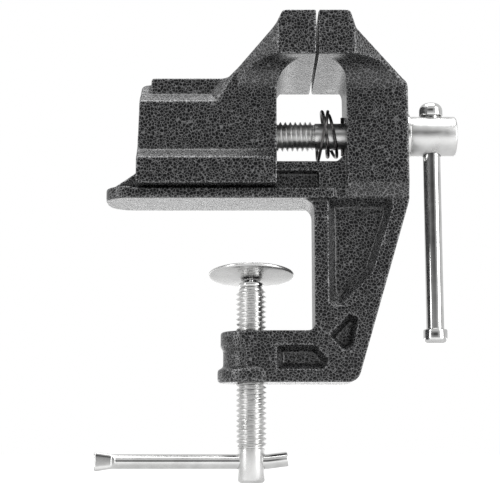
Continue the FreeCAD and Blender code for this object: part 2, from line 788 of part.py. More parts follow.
clamp_blank = new_body("clamp_blank")
clamp_profile = outline(clamp_blank, "clamp_profile", "XZ_Plane", [
    ("0", "-clamp_shoulder + spigot_length"),
    ("spigot_radius", "-clamp_shoulder + spigot_length"),
    ("spigot_radius", "-clamp_shoulder"),
    ("thread_radius - clamp_chamfer", "-clamp_shoulder"),
    ("thread_radius", "-clamp_shoulder - clamp_chamfer"),
    ("thread_radius", "-clamp_thread_end"),
    ("clamp_shank_radius", "-clamp_thread_end - thread_radius + clamp_shank_radius"),
    ("clamp_shank_radius", "-clamp_foot + tip_chamfer"),
    ("clamp_shank_radius - tip_chamfer", "-clamp_foot"),
    ("0", "-clamp_foot"),
])
turn(clamp_blank, clamp_profile, "Revolution", origin_feature(clamp_blank, "Z_Axis"))
thread_grooves(clamp_blank, "-clamp_thread_end + clamp_run_out",
               "clamp_thread_end - clamp_shoulder - 3 * tip_chamfer", "Z_Axis")
clamp_bar_hole = cylinder("clamp_bar_hole", "clamp_bar_radius + fit", "2 * clamp_shank_radius + 2 * margin",
                          ("-clamp_shank_radius - margin", "0", "-clamp_bar_height"), TO_HANDLE)
clamp_screw = cut("clamp_screw", clamp_blank, clamp_bar_hole)


# ---- collar and swivel pad -------------------------------------------------------------------------
# The collar sits on the screw's spigot and carries a ball; the pad is a pressed dish closed round it.

pad_collar = new_body("pad_collar")
collar_profile = outline(pad_collar, "collar_profile", "XZ_Plane", [
    ("spigot_radius + fit", "-clamp_shoulder + fit"),
    ("collar_radius", "-clamp_shoulder + fit", "collar_round"),
    ("collar_radius", "-collar_top", "collar_round"),
    ("0", "-collar_top"),
    ("0", "-clamp_shoulder + spigot_length + 2 * fit"),
    ("spigot_radius + fit", "-clamp_shoulder + spigot_length + 2 * fit"),
])
turn(pad_collar, collar_profile, "Revolution", origin_feature(pad_collar, "Z_Axis"))
pad_collar.Label = "collar_ring"
ball_neck = cylinder("ball_neck", "neck_radius", "collar_top - ball_height + neck_lap",
                     ("0", "0", "-collar_top - neck_lap"), UP)
ball = doc.addObject("Part::Sphere", "ball")
bind(ball, Radius="ball_radius", Placement__Base__z="-ball_height")
collar_node = fuse("pad_collar_node", [pad_collar, ball_neck, ball])
collar_node.Label = "pad_collar"

pad_dish = new_body("pad_dish")
dish_profile = outline(pad_dish, "dish_profile", "XZ_Plane", [
    ("0", "pad_face"),
    ("pad_land", "pad_face"),
    ("pad_hollow_start", "pad_hollow"),
    ("pad_hollow_end", "pad_hollow_rise"),
    ("pad_rim_start", "pad_face"),
    ("pad_radius - pad_rim_round", "pad_face", "pad_rim_round"),
    ("pad_radius", "pad_rim_foot", "pad_rim_round"),
    ("pad_cone_start", "-pad_cone_top"),
    ("pad_hub_radius", "-pad_hub_foot", "pad_rim_round"),
    ("pad_mouth", "-pad_hub_foot"),
    ("0", "0"),
])
turn(pad_dish, dish_profile, "Revolution", origin_feature(pad_dish, "Z_Axis"))
socket = doc.addObject("Part::Sphere", "socket")
bind(socket, Radius="ball_radius + fit")
swivel_pad = cut("swivel_pad", pad_dish, socket)
swivel_pad.Placement = FreeCAD.Placement(
    FreeCAD.Vector(), FreeCAD.Rotation(FreeCAD.Vector(1, 0, 0), -size("pad_tilt")))
bind(swivel_pad, Placement__Base__z="-ball_height", Placement__Rotation__Angle="-pad_tilt")


# ---- clamp bar -------------------------------------------------------------------------------------
# Thin rod through the clamp screw's foot: one end bent up a little, the other hammered flat.

straight = cylinder("straight", "clamp_bar_radius", "clamp_bar_left + clamp_bar_bend",
                    ("-clamp_bar_left", "0", "-clamp_bar_height"), TO_HANDLE)
elbow = doc.addObject("Part::Sphere", "elbow")
bind(elbow, Radius="clamp_bar_radius", Placement__Base__x="clamp_bar_bend",
     Placement__Base__z="-clamp_bar_height")
rise = math.radians(size("stub_angle"))
stub = cylinder("stub", "clamp_bar_radius", "clamp_bar_stub",
                ("clamp_bar_bend", "0", "-clamp_bar_height"), (math.cos(rise), 0, math.sin(rise)))
paddle = doc.addObject("Part::Box", "paddle")
bind(paddle, Length="paddle_length", Width="paddle_thick", Height="2 * paddle_half",
     Placement__Base__x="-clamp_bar_left - paddle_length + paddle_lap",
     Placement__Base__y="-paddle_thick / 2",
     Placement__Base__z="-clamp_bar_height - paddle_half")
rounded_paddle = doc.addObject("Part::Fillet", "rounded_paddle")
rounded_paddle.Base = paddle
doc.recompute()
corner_edges = [(number, 0.9, 0.9) for number, edge in enumerate(paddle.Shape.Edges, start=1)
                if abs(edge.Vertexes[0].Y - edge.Vertexes[-1].Y) > 1]
rounded_paddle.Edges = corner_edges
clamp_bar = fuse("clamp_bar", [straight, elbow, stub, rounded_paddle])


# ---- checks and files ------------------------------------------------------------------------------

NODES = [frame_node, sliding_node, main_screw, head_washer, retaining_pin, spring_sweep, main_bar,
         upper_knob, lower_knob, clamp_screw, collar_node, swivel_pad, clamp_bar]

doc.recompute()
for item in doc.Objects:
    if {"Invalid", "Error"} & set(item.State):
        raise RuntimeError(f"{item.Name} failed: {item.State}")
for node in NODES:
    if node.Shape.isNull() or not node.Shape.isValid():
        raise RuntimeError(f"{node.Label} has no valid shape")

os.makedirs(PARTS_FOLDER, exist_ok=True)
for node in NODES:
    node.Shape.exportStep(os.path.join(PARTS_FOLDER, node.Label + ".step"))
    box = node.Shape.BoundBox
    print(f"{node.Label:22s} solids {len(node.Shape.Solids)} volume {node.Shape.Volume:9.1f} "
          f"X {box.XMin:7.2f} {box.XMax:7.2f} Y {box.YMin:7.2f} {box.YMax:7.2f} "
          f"Z {box.ZMin:7.2f} {box.ZMax:7.2f}")
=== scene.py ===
import math

import bmesh
import bpy
from mathutils import Matrix, Vector


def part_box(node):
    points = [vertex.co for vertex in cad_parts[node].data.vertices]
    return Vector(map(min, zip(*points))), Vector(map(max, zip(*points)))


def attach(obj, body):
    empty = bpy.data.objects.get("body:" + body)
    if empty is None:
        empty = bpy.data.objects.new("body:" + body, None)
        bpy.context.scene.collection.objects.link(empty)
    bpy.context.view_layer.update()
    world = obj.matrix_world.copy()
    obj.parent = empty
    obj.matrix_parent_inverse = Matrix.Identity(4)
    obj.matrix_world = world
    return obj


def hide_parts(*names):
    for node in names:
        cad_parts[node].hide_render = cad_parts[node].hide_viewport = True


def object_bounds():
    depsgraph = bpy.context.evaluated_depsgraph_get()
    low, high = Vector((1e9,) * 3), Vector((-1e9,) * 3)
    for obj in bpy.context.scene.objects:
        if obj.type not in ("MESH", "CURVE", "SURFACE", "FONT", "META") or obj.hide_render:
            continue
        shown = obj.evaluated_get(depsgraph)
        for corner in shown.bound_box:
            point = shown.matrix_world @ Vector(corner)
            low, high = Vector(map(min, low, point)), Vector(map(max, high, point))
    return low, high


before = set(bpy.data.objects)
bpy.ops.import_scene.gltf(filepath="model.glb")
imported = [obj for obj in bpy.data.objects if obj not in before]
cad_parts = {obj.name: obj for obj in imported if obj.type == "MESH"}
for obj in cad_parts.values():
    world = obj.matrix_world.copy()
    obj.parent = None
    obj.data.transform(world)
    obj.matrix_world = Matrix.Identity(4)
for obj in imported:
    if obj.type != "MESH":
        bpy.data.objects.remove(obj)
cad_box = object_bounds()
scene = bpy.context.scene


# ======== Studio ====================================================================================
# The vise hangs in a white studio with a pale floor well below it. Soft boxes stand above and to both
# sides, and the camera looks up a little, from just above the height of the clamp screw's foot.

MM = 0.001
CAMERA_PLACE = Vector((-0.5, -502.4, -94.2)) * MM
CAMERA_PITCH = math.radians(98.55)
LENS_MM = 91.0
FLOOR_DEPTH = 0.075
FLOOR_SIZE = 14.0
FLOOR_GREY, FLOOR_WHITE = 0.42, 0.86
FLOOR_WHITE_GLOW = 0.60
STUDIO_STRENGTH = 0.70

camera = bpy.data.objects.new("camera", bpy.data.cameras.new("camera"))
camera.data.lens = LENS_MM
camera.data.sensor_width = 36.0
camera.location = CAMERA_PLACE
camera.rotation_euler = (CAMERA_PITCH, 0, 0)
camera.data.clip_start = 0.01
camera.data.clip_end = 50
scene.collection.objects.link(camera)
scene.camera = camera
scene.view_settings.view_transform = "Standard"


def new_material(name):
    """A material with its output and Principled shader, and short ways to add nodes and links."""
    material = bpy.data.materials.new(name)
    material.use_nodes = True
    tree = material.node_tree
    tree.nodes.clear()
    output = tree.nodes.new("ShaderNodeOutputMaterial")
    shader = tree.nodes.new("ShaderNodeBsdfPrincipled")
    tree.links.new(shader.outputs["BSDF"], output.inputs["Surface"])
    return material, tree, shader


def soft_box(name, place, aim, width, height, power, tint=(1, 1, 1)):
    """A rectangular lamp at a place, turned to face a point."""
    lamp = bpy.data.lights.new(name, "AREA")
    lamp.shape = "RECTANGLE"
    lamp.size, lamp.size_y = width, height
    lamp.energy = power
    lamp.color = tint
    stand = bpy.data.objects.new(name, lamp)
    stand.location = place
    stand.rotation_euler = (Vector(aim) - Vector(place)).to_track_quat("-Z", "Y").to_euler()
    scene.collection.objects.link(stand)


AIM = (0.0, 0.0, -0.01)
soft_box("box_above", (0.0, -0.10, 0.95), AIM, 0.9, 0.7, 7.5)
soft_box("box_left", (-0.80, -0.50, 0.22), AIM, 0.16, 0.9, 2.2)
soft_box("box_upper_left", (-0.75, -0.12, 0.55), AIM, 0.5, 0.5, 1.2)
soft_box("box_right", (0.80, -0.50, 0.20), AIM, 0.45, 0.9, 5.0)

# How bright the room looks from the vise: towards the camera by sideways direction, elsewhere white.
ROOM_SIDEWAYS = ((0.00, 0.55), (0.06, 0.35), (0.16, 0.30), (0.34, 0.10), (0.58, 0.07), (0.66, 0.45),
                 (0.80, 0.95), (0.95, 0.90), (1.00, 0.55))
ROOM_DEPTH = ((0.42, 0.0), (0.56, 1.0))
ROOM_HEIGHT = ((0.50, 0.50), (0.545, 0.40), (0.575, 0.02), (0.65, 0.02), (0.74, 1.0))


def ramp(tree, stops):
    """A colour ramp through (position, grey) stops."""
    node = tree.nodes.new("ShaderNodeValToRGB")
    elements = node.color_ramp.elements
    while len(elements) < len(stops):
        elements.new(0.5)
    for element, (position, grey) in zip(elements, stops):
        element.position = position
        element.color = (grey, grey, grey, 1)
    return node


def zero_to_one(tree, socket):
    """A direction's component, brought from -1..1 to 0..1."""
    node = tree.nodes.new("ShaderNodeMath")
    node.operation = "MULTIPLY_ADD"
    node.inputs[1].default_value = 0.5
    node.inputs[2].default_value = 0.5
    tree.links.new(socket, node.inputs[0])
    return node.outputs["Value"]


world = bpy.data.worlds.new("studio")
world.use_nodes = True
scene.world = world
sky = world.node_tree
sky.nodes.clear()
sky_output = sky.nodes.new("ShaderNodeOutputWorld")
direction = sky.nodes.new("ShaderNodeTexCoord")
split = sky.nodes.new("ShaderNodeSeparateXYZ")
sky.links.new(direction.outputs["Generated"], split.inputs["Vector"])
sideways, depthways, heightways = (ramp(sky, stops) for stops in (ROOM_SIDEWAYS, ROOM_DEPTH, ROOM_HEIGHT))
sky.links.new(zero_to_one(sky, split.outputs["X"]), sideways.inputs["Fac"])
sky.links.new(zero_to_one(sky, split.outputs["Y"]), depthways.inputs["Fac"])
sky.links.new(zero_to_one(sky, split.outputs["Z"]), heightways.inputs["Fac"])
room = sky.nodes.new("ShaderNodeMix")
room.data_type = "RGBA"
room.blend_type = "SCREEN"
room.inputs["Factor"].default_value = 1.0
whole_room = sky.nodes.new("ShaderNodeMix")
whole_room.data_type = "RGBA"
whole_room.blend_type = "SCREEN"
whole_room.inputs["Factor"].default_value = 1.0
sky.links.new(sideways.outputs["Color"], room.inputs["A"])
sky.links.new(depthways.outputs["Color"], room.inputs["B"])
sky.links.new(room.outputs["Result"], whole_room.inputs["A"])
sky.links.new(heightways.outputs["Color"], whole_room.inputs["B"])
studio_light = sky.nodes.new("ShaderNodeBackground")
studio_light.inputs["Strength"].default_value = STUDIO_STRENGTH
backdrop = sky.nodes.new("ShaderNodeBackground")
backdrop.inputs["Color"].default_value = (1, 1, 1, 1)
backdrop.inputs["Strength"].default_value = 1.0
eye_path = sky.nodes.new("ShaderNodeLightPath")
choose = sky.nodes.new("ShaderNodeMixShader")
sky.links.new(whole_room.outputs["Result"], studio_light.inputs["Color"])
sky.links.new(eye_path.outputs["Is Camera Ray"], choose.inputs["Fac"])
sky.links.new(studio_light.outputs["Background"], choose.inputs[1])
sky.links.new(backdrop.outputs["Background"], choose.inputs[2])
sky.links.new(choose.outputs["Shader"], sky_output.inputs["Surface"])

floor_mesh = bpy.data.meshes.new("floor")
half_floor = FLOOR_SIZE / 2
floor_height = cad_box[0].z - FLOOR_DEPTH
floor_mesh.from_pydata(
    [(-half_floor, -half_floor, floor_height), (half_floor, -half_floor, floor_height),
     (half_floor, half_floor, floor_height), (-half_floor, half_floor, floor_height)],
    [], [(0, 1, 2, 3)])
floor = bpy.data.objects.new("floor", floor_mesh)
scene.collection.objects.link(floor)
# The paper is white to the eye. What the vise sees of it is greyer, and brighter far behind than below it.
FLOOR_REACH = 1.5
FLOOR_POWER = 2.1
FLOOR_GLOW = ((0.00, 0.15), (0.30, 0.32), (0.42, 0.26), (0.48, 0.10), (0.60, 0.09), (0.75, 0.35),
              (0.90, 0.95), (1.00, 1.00))
floor_paper, floor_tree, floor_shader = new_material("floor_paper")
floor_shader.inputs["Roughness"].default_value = 0.9
floor_shader.inputs["Emission Color"].default_value = (1, 1, 1, 1)
floor_place = floor_tree.nodes.new("ShaderNodeTexCoord")
floor_split = floor_tree.nodes.new("ShaderNodeSeparateXYZ")
floor_span = floor_tree.nodes.new("ShaderNodeMapRange")
floor_span.inputs["From Min"].default_value = -FLOOR_REACH
floor_span.inputs["From Max"].default_value = FLOOR_REACH
floor_glow = ramp(floor_tree, FLOOR_GLOW)
floor_power = floor_tree.nodes.new("ShaderNodeMath")
floor_power.operation = "MULTIPLY"
floor_power.inputs[1].default_value = FLOOR_POWER
floor_eye = floor_tree.nodes.new("ShaderNodeLightPath")
floor_colour = floor_tree.nodes.new("ShaderNodeMix")
floor_colour.data_type = "RGBA"
floor_colour.inputs["A"].default_value = (FLOOR_GREY, FLOOR_GREY, FLOOR_GREY, 1)
floor_colour.inputs["B"].default_value = (FLOOR_WHITE, FLOOR_WHITE, FLOOR_WHITE, 1)
floor_strength = floor_tree.nodes.new("ShaderNodeMix")
floor_strength.data_type = "FLOAT"
floor_strength.inputs["B"].default_value = FLOOR_WHITE_GLOW
floor_tree.links.new(floor_place.outputs["Object"], floor_split.inputs["Vector"])
floor_tree.links.new(floor_split.outputs["Y"], floor_span.inputs["Value"])
floor_tree.links.new(floor_span.outputs["Result"], floor_glow.inputs["Fac"])
floor_tree.links.new(floor_glow.outputs["Color"], floor_power.inputs[0])
floor_tree.links.new(floor_eye.outputs["Is Camera Ray"], floor_colour.inputs["Factor"])
floor_tree.links.new(floor_eye.outputs["Is Camera Ray"], floor_strength.inputs["Factor"])
floor_tree.links.new(floor_power.outputs["Value"], floor_strength.inputs["A"])
floor_tree.links.new(floor_colour.outputs["Result"], floor_shader.inputs["Base Color"])
floor_tree.links.new(floor_strength.outputs["Result"], floor_shader.inputs["Emission Strength"])
floor_mesh.materials.append(floor_paper)


# ======== Castings ==================================================================================
# Frame and sliding jaw are grey iron, sand cast, fettled and dipped in hammertone enamel. Their edges
# are soft from the casting and the thick paint. The paint dries as dark drops in a paler grey web.

CAST_GRAIN = 0.5 * MM
CAST_SOFTNESS = 6
CAST_FACES = 95000


def hammertone_group():
    """Dark drops in a pale web: how much web shows, how high the paint stands, and its slow unevenness."""
    group = bpy.data.node_groups.new("hammertone", "ShaderNodeTree")
    for name, value in (("Drops per Metre", 800.0), ("Web Width", 0.16), ("Wander", 0.5)):
        group.interface.new_socket(name, in_out="INPUT", socket_type="NodeSocketFloat").default_value = value
    for name in ("Web", "Height", "Cloud"):
        group.interface.new_socket(name, in_out="OUTPUT", socket_type="NodeSocketFloat")
    nodes, links = group.nodes, group.links
    given, result = nodes.new("NodeGroupInput"), nodes.new("NodeGroupOutput")
    place = nodes.new("ShaderNodeTexCoord")
    stir = nodes.new("ShaderNodeTexNoise")
    stir.inputs["Detail"].default_value = 2.0
    centred = nodes.new("ShaderNodeVectorMath")
    centred.operation = "SUBTRACT"
    centred.inputs[1].default_value = (0.5, 0.5, 0.5)
    amount = nodes.new("ShaderNodeMath")
    amount.operation = "DIVIDE"
    shift = nodes.new("ShaderNodeVectorMath")
    shift.operation = "SCALE"
    moved = nodes.new("ShaderNodeVectorMath")
    moved.operation = "ADD"
    drops = nodes.new("ShaderNodeTexVoronoi")
    drops.feature = "DISTANCE_TO_EDGE"
    patchy = nodes.new("ShaderNodeTexNoise")
    patchy.inputs["Detail"].default_value = 1.0
    width = nodes.new("ShaderNodeMath")
    width.operation = "MULTIPLY"
    doubled = nodes.new("ShaderNodeMath")
    doubled.operation = "MULTIPLY"
    doubled.inputs[1].default_value = 2.0
    web = nodes.new("ShaderNodeMapRange")
    web.interpolation_type = "SMOOTHSTEP"
    web.inputs["From Min"].default_value = 0.0
    web.inputs["To Min"].default_value = 1.0
    web.inputs["To Max"].default_value = 0.0
    height = nodes.new("ShaderNodeMapRange")
    height.interpolation_type = "SMOOTHERSTEP"
    height.inputs["From Max"].default_value = 0.4
    cloud = nodes.new("ShaderNodeTexNoise")
    cloud.inputs["Scale"].default_value = 90.0
    cloud.inputs["Detail"].default_value = 3.0
    links.new(place.outputs["Object"], stir.inputs["Vector"])
    links.new(given.outputs["Drops per Metre"], stir.inputs["Scale"])
    links.new(stir.outputs["Color"], centred.inputs[0])
    links.new(given.outputs["Wander"], amount.inputs[0])
    links.new(given.outputs["Drops per Metre"], amount.inputs[1])
    links.new(centred.outputs["Vector"], shift.inputs[0])
    links.new(amount.outputs["Value"], shift.inputs["Scale"])
    links.new(place.outputs["Object"], moved.inputs[0])
    links.new(shift.outputs["Vector"], moved.inputs[1])
    links.new(moved.outputs["Vector"], drops.inputs["Vector"])
    links.new(given.outputs["Drops per Metre"], drops.inputs["Scale"])
    links.new(moved.outputs["Vector"], patchy.inputs["Vector"])
    links.new(given.outputs["Drops per Metre"], patchy.inputs["Scale"])
    links.new(patchy.outputs["Fac"], doubled.inputs[0])
    links.new(doubled.outputs["Value"], width.inputs[0])
    links.new(given.outputs["Web Width"], width.inputs[1])
    links.new(drops.outputs["Distance"], web.inputs["Value"])
    links.new(width.outputs["Value"], web.inputs["From Max"])
    links.new(drops.outputs["Distance"], height.inputs["Value"])
    links.new(place.outputs["Object"], cloud.inputs["Vector"])
    links.new(web.outputs["Result"], result.inputs["Web"])
    links.new(height.outputs["Result"], result.inputs["Height"])
    links.new(cloud.outputs["Fac"], result.inputs["Cloud"])
    return group


HAMMERTONE = hammertone_group()


def hammertone_enamel(name, drops_per_metre, web_width):
    """Glossy enamel over the iron: near-black drops, grey web with a little metal flake."""
    material, tree, shader = new_material(name)
    pattern = tree.nodes.new("ShaderNodeGroup")
    pattern.node_tree = HAMMERTONE
    pattern.inputs["Drops per Metre"].default_value = drops_per_metre
    pattern.inputs["Web Width"].default_value = web_width
    colour = tree.nodes.new("ShaderNodeValToRGB")
    colour.color_ramp.elements[0].color = (0.004, 0.004, 0.0045, 1)
    colour.color_ramp.elements[1].color = (0.190, 0.191, 0.193, 1)
    middle = colour.color_ramp.elements.new(0.45)
    middle.color = (0.021, 0.021, 0.022, 1)
    gloss = tree.nodes.new("ShaderNodeMapRange")
    gloss.inputs["To Min"].default_value = 0.17
    gloss.inputs["To Max"].default_value = 0.40
    flake = tree.nodes.new("ShaderNodeMapRange")
    flake.inputs["To Min"].default_value = 0.0
    flake.inputs["To Max"].default_value = 0.60
    relief = tree.nodes.new("ShaderNodeBump")
    relief.inputs["Strength"].default_value = 0.45
    relief.inputs["Distance"].default_value = 0.10 * MM
    swell = tree.nodes.new("ShaderNodeBump")
    swell.inputs["Strength"].default_value = 0.5
    swell.inputs["Distance"].default_value = 0.35 * MM
    tree.links.new(pattern.outputs["Web"], colour.inputs["Fac"])
    # painted highlight on convex edges and painted shade in concave corners and creases, from the mesh's
    # pointiness
    corners = tree.nodes.new("ShaderNodeNewGeometry")
    edge_glint_crease_shade = tree.nodes.new("ShaderNodeMapRange")
    edge_glint_crease_shade.inputs["From Min"].default_value = 0.455
    edge_glint_crease_shade.inputs["From Max"].default_value = 0.545
    edge_glint_crease_shade.inputs["To Min"].default_value = 0.30
    edge_glint_crease_shade.inputs["To Max"].default_value = 1.90
    # the enamel's colour is scaled as painted light: down to 0.30 in creases as painted shade, up to 1.90 on
    # edges as painted highlight
    shaded = tree.nodes.new("ShaderNodeVectorMath")
    shaded.operation = "SCALE"
    tree.links.new(corners.outputs["Pointiness"], edge_glint_crease_shade.inputs["Value"])
    tree.links.new(colour.outputs["Color"], shaded.inputs[0])
    tree.links.new(edge_glint_crease_shade.outputs["Result"], shaded.inputs["Scale"])
    tree.links.new(shaded.outputs["Vector"], shader.inputs["Base Color"])
    tree.links.new(pattern.outputs["Web"], gloss.inputs["Value"])
    tree.links.new(gloss.outputs["Result"], shader.inputs["Roughness"])
    tree.links.new(pattern.outputs["Web"], flake.inputs["Value"])
    tree.links.new(flake.outputs["Result"], shader.inputs["Metallic"])
    tree.links.new(pattern.outputs["Cloud"], swell.inputs["Height"])
    tree.links.new(swell.outputs["Normal"], relief.inputs["Normal"])
    tree.links.new(pattern.outputs["Height"], relief.inputs["Height"])
    tree.links.new(relief.outputs["Normal"], shader.inputs["Normal"])
    return material


casting_enamel = hammertone_enamel("casting_enamel", 800.0, 0.13)


def flatten_modifiers(piece):
    """Turn a piece's modifiers into its mesh."""
    depsgraph = bpy.context.evaluated_depsgraph_get()
    final = bpy.data.meshes.new_from_object(piece.evaluated_get(depsgraph))
    piece.modifiers.clear()
    old, piece.data = piece.data, final
    bpy.data.meshes.remove(old)
    for polygon in final.polygons:
        polygon.use_smooth = True


def casting(name, node, body):
    """The designed casting with its edges softened as sand and paint leave them."""
    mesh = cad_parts[node].data.copy()
    piece = bpy.data.objects.new(name, mesh)
    scene.collection.objects.link(piece)
    sand = piece.modifiers.new("sand", "REMESH")
    sand.mode = "VOXEL"
    sand.voxel_size = CAST_GRAIN
    soften = piece.modifiers.new("soften", "SMOOTH")
    soften.factor = 0.5
    soften.iterations = CAST_SOFTNESS
    flatten_modifiers(piece)
    thin = piece.modifiers.new("thin", "DECIMATE")
    triangles = sum(len(polygon.vertices) - 2 for polygon in piece.data.polygons)
    thin.ratio = min(1.0, CAST_FACES / triangles)
    flatten_modifiers(piece)
    piece.data.materials.clear()
    piece.data.materials.append(casting_enamel)
    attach(piece, body)
    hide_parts(node)


casting("frame_casting_painted", "frame_casting", "frame")
casting("sliding_jaw_painted", "sliding_jaw", "jaw")


# ======== Main screw ================================================================================
# Turned from one bar: a rolled 12 mm thread of 2 mm lead, a plain shank of the thread's mean size, and
# a big round head drilled across for the bar. It is plated bright, and the rolling leaves fine rings.

LEAD = 2.0 * MM
THREAD_RADIUS = 6.0 * MM
THREAD_DEPTH = 1.15 * MM
AROUND = 72
SHARP_EDGE = math.radians(32)
# one pitch of the thread: how far along, and how deep, as shares of lead and depth
THREAD_FORM = ((0.00, 1.00), (0.07, 0.97), (0.20, 0.60), (0.32, 0.24), (0.42, 0.05), (0.50, 0.00),
               (0.60, 0.05), (0.70, 0.24), (0.81, 0.60), (0.94, 0.97))


def turning_group():
    """Marks that go round a turned piece: fine rings and uneven polish."""
    group = bpy.data.node_groups.new("turning_marks", "ShaderNodeTree")
    group.interface.new_socket("Stretch", in_out="INPUT", socket_type="NodeSocketVector")
    group.interface.new_socket("Rings", in_out="OUTPUT", socket_type="NodeSocketFloat")
    group.interface.new_socket("Polish", in_out="OUTPUT", socket_type="NodeSocketFloat")
    nodes, links = group.nodes, group.links
    given, result = nodes.new("NodeGroupInput"), nodes.new("NodeGroupOutput")
    place = nodes.new("ShaderNodeTexCoord")
    stretched = nodes.new("ShaderNodeVectorMath")
    stretched.operation = "MULTIPLY"
    rings = nodes.new("ShaderNodeTexNoise")
    rings.inputs["Scale"].default_value = 1.0
    rings.inputs["Detail"].default_value = 4.0
    rings.inputs["Roughness"].default_value = 0.65
    polish = nodes.new("ShaderNodeTexNoise")
    polish.inputs["Scale"].default_value = 180.0
    polish.inputs["Detail"].default_value = 5.0
    links.new(place.outputs["Object"], stretched.inputs[0])
    links.new(given.outputs["Stretch"], stretched.inputs[1])
    links.new(stretched.outputs["Vector"], rings.inputs["Vector"])
    links.new(place.outputs["Object"], polish.inputs["Vector"])
    links.new(rings.outputs["Fac"], result.inputs["Rings"])
    links.new(polish.outputs["Fac"], result.inputs["Polish"])
    return group


TURNING = turning_group()


def plated_metal(name, stretch, colours, roughness, ring_height):
    """Plated steel: colours and roughness are each a low and a high value that the marks mix."""
    material, tree, shader = new_material(name)
    marks = tree.nodes.new("ShaderNodeGroup")
    marks.node_tree = TURNING
    marks.inputs["Stretch"].default_value = stretch
    shader.inputs["Metallic"].default_value = 1.0
    colour = tree.nodes.new("ShaderNodeValToRGB")
    colour.color_ramp.elements[0].position = 0.3
    colour.color_ramp.elements[1].position = 0.7
    colour.color_ramp.elements[0].color = (*colours[0], 1)
    colour.color_ramp.elements[1].color = (*colours[1], 1)
    dullness = tree.nodes.new("ShaderNodeMapRange")
    dullness.inputs["From Min"].default_value = 0.3
    dullness.inputs["From Max"].default_value = 0.7
    dullness.inputs["To Min"].default_value = roughness[0]
    dullness.inputs["To Max"].default_value = roughness[1]
    relief = tree.nodes.new("ShaderNodeBump")
    relief.inputs["Strength"].default_value = 0.5
    relief.inputs["Distance"].default_value = ring_height
    tree.links.new(marks.outputs["Polish"], colour.inputs["Fac"])
    tree.links.new(colour.outputs["Color"], shader.inputs["Base Color"])
    tree.links.new(marks.outputs["Polish"], dullness.inputs["Value"])
    tree.links.new(dullness.outputs["Result"], shader.inputs["Roughness"])
    tree.links.new(marks.outputs["Rings"], relief.inputs["Height"])
    tree.links.new(relief.outputs["Normal"], shader.inputs["Normal"])
    return material


ALONG_X, ALONG_Z = (4000.0, 60.0, 60.0), (60.0, 60.0, 4000.0)
NICKEL = ((0.61, 0.61, 0.605), (0.77, 0.77, 0.765))
screw_plating_x = plated_metal("screw_plating_x", ALONG_X, NICKEL, (0.24, 0.40), 0.015 * MM)
bright_plating_x = plated_metal("bright_plating_x", ALONG_X, NICKEL, (0.10, 0.20), 0.006 * MM)


def add_rings(shape, profile, closed_start=True, closed_end=True, loop=False):
    """Lathe a profile of (along, radius) round the X axis into a bmesh; a loop makes a bored ring."""
    circles = []
    for along, radius in profile:
        circles.append([shape.verts.new((along,
                                         radius * math.cos(2 * math.pi * turn / AROUND),
                                         radius * math.sin(2 * math.pi * turn / AROUND)))
                        for turn in range(AROUND)])
    for first, second in zip(circles, circles[1:] + circles[:1] if loop else circles[1:]):
        for turn in range(AROUND):
            after = (turn + 1) % AROUND
            shape.faces.new((first[turn], first[after], second[after], second[turn]))
    if closed_start and not loop:
        shape.faces.new(list(reversed(circles[0])))
    if closed_end and not loop:
        shape.faces.new(circles[-1])


def add_thread(shape, start, end):
    """A true helical thread round the X axis between two planes, fading out at both."""
    turns = math.ceil((end - start) / LEAD) + 2
    rows = []
    for pitch in range(-2, turns + 1):
        for share, depth in THREAD_FORM:
            row = []
            for turn in range(AROUND):
                along = start + (pitch + share + turn / AROUND) * LEAD
                along = min(max(along, start), end)
                fade = min((along - start) / (0.6 * LEAD), (end - along) / (0.6 * LEAD), 1.0)
                level = THREAD_RADIUS - THREAD_DEPTH * (1 - depth)
                radius = THREAD_RADIUS - THREAD_DEPTH + (level - THREAD_RADIUS + THREAD_DEPTH) * max(fade, 0)
                angle = 2 * math.pi * turn / AROUND
                row.append(shape.verts.new((along, radius * math.cos(angle), radius * math.sin(angle))))
            rows.append(row)
    step = len(THREAD_FORM)
    for index in range(len(rows) - 1):
        for turn in range(AROUND - 1):
            shape.faces.new((rows[index][turn], rows[index][turn + 1],
                             rows[index + 1][turn + 1], rows[index + 1][turn]))
        if index + 1 + step < len(rows):
            shape.faces.new((rows[index][AROUND - 1], rows[index + step][0],
                             rows[index + 1 + step][0], rows[index + 1][AROUND - 1]))


def finished_mesh(shape, name, weld=0.002 * MM, crease=SHARP_EDGE):
    """Weld, drop slivers, face everything outward, and keep only real edges sharp."""
    bmesh.ops.remove_doubles(shape, verts=shape.verts, dist=weld)
    bmesh.ops.dissolve_degenerate(shape, dist=weld, edges=shape.edges)
    loose = [vert for vert in shape.verts if not vert.link_faces]
    bmesh.ops.delete(shape, geom=loose, context="VERTS")
    bmesh.ops.recalc_face_normals(shape, faces=shape.faces)
    mesh = bpy.data.meshes.new(name)
    shape.to_mesh(mesh)
    shape.free()
    for polygon in mesh.polygons:
        polygon.use_smooth = True
    mesh.set_sharp_from_angle(angle=crease)
    return mesh


def place_piece(name, mesh, body, material, nodes, matrix=None):
    """Put a mesh in its place, give it its material, attach it to its body, and hide the designed parts it
    replaces.
    """
    if matrix is not None:
        mesh.transform(matrix)
    mesh.materials.append(material)
    piece = bpy.data.objects.new(name, mesh)
    scene.collection.objects.link(piece)
    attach(piece, body)
    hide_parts(*nodes)
    return piece


